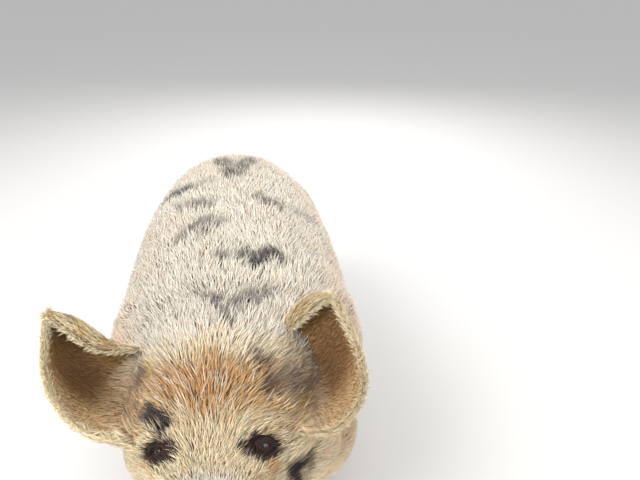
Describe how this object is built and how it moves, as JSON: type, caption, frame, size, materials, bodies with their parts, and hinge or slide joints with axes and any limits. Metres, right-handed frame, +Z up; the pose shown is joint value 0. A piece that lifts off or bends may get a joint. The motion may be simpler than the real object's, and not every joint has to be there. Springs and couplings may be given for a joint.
{
  "type": "kunekune pig",
  "caption": "Life-size still model of a standing kunekune pig with a long soft coat, broad cupped ears and a short snout.",
  "frame": {"origin": "middle of the outer box at floor level", "axes": "+Z up, the pig faces -Y, its left side is at +X"},
  "size_m": [0.4629, 1.083, 0.6241],
  "materials": {
    "cream_coat": "long soft cream hair with grey-black spots",
    "ginger_coat": "soft ginger-tan hair, paler between the eyes",
    "snout_skin": "moist bare pinkish-grey skin, finely wrinkled",
    "claw_horn": "worn dark horn",
    "eye": "wet dark brown"
  },
  "bodies": {
    "root": {"torso": "cream_coat", "neck": "cream_coat", "head": "ginger_coat", "snout": "snout_skin", "tail": "cream_coat", "ear_left": "ginger_coat", "eye_left": "eye", "wattle_left": "snout_skin", "front_leg_left": "cream_coat", "front_claw_left_outer": "claw_horn", "front_dewclaw_left_outer": "claw_horn", "front_claw_left_inner": "claw_horn", "front_dewclaw_left_inner": "claw_horn", "hind_leg_left": "cream_coat", "hind_claw_left_outer": "claw_horn", "hind_dewclaw_left_outer": "claw_horn", "hind_claw_left_inner": "claw_horn", "hind_dewclaw_left_inner": "claw_horn", "ear_right": "ginger_coat", "eye_right": "eye", "wattle_right": "snout_skin", "front_leg_right": "cream_coat", "front_claw_right_outer": "claw_horn", "front_dewclaw_right_outer": "claw_horn", "front_claw_right_inner": "claw_horn", "front_dewclaw_right_inner": "claw_horn", "hind_leg_right": "cream_coat", "hind_claw_right_outer": "claw_horn", "hind_dewclaw_right_outer": "claw_horn", "hind_claw_right_inner": "claw_horn", "hind_dewclaw_right_inner": "claw_horn"}
  },
  "joints": []
}
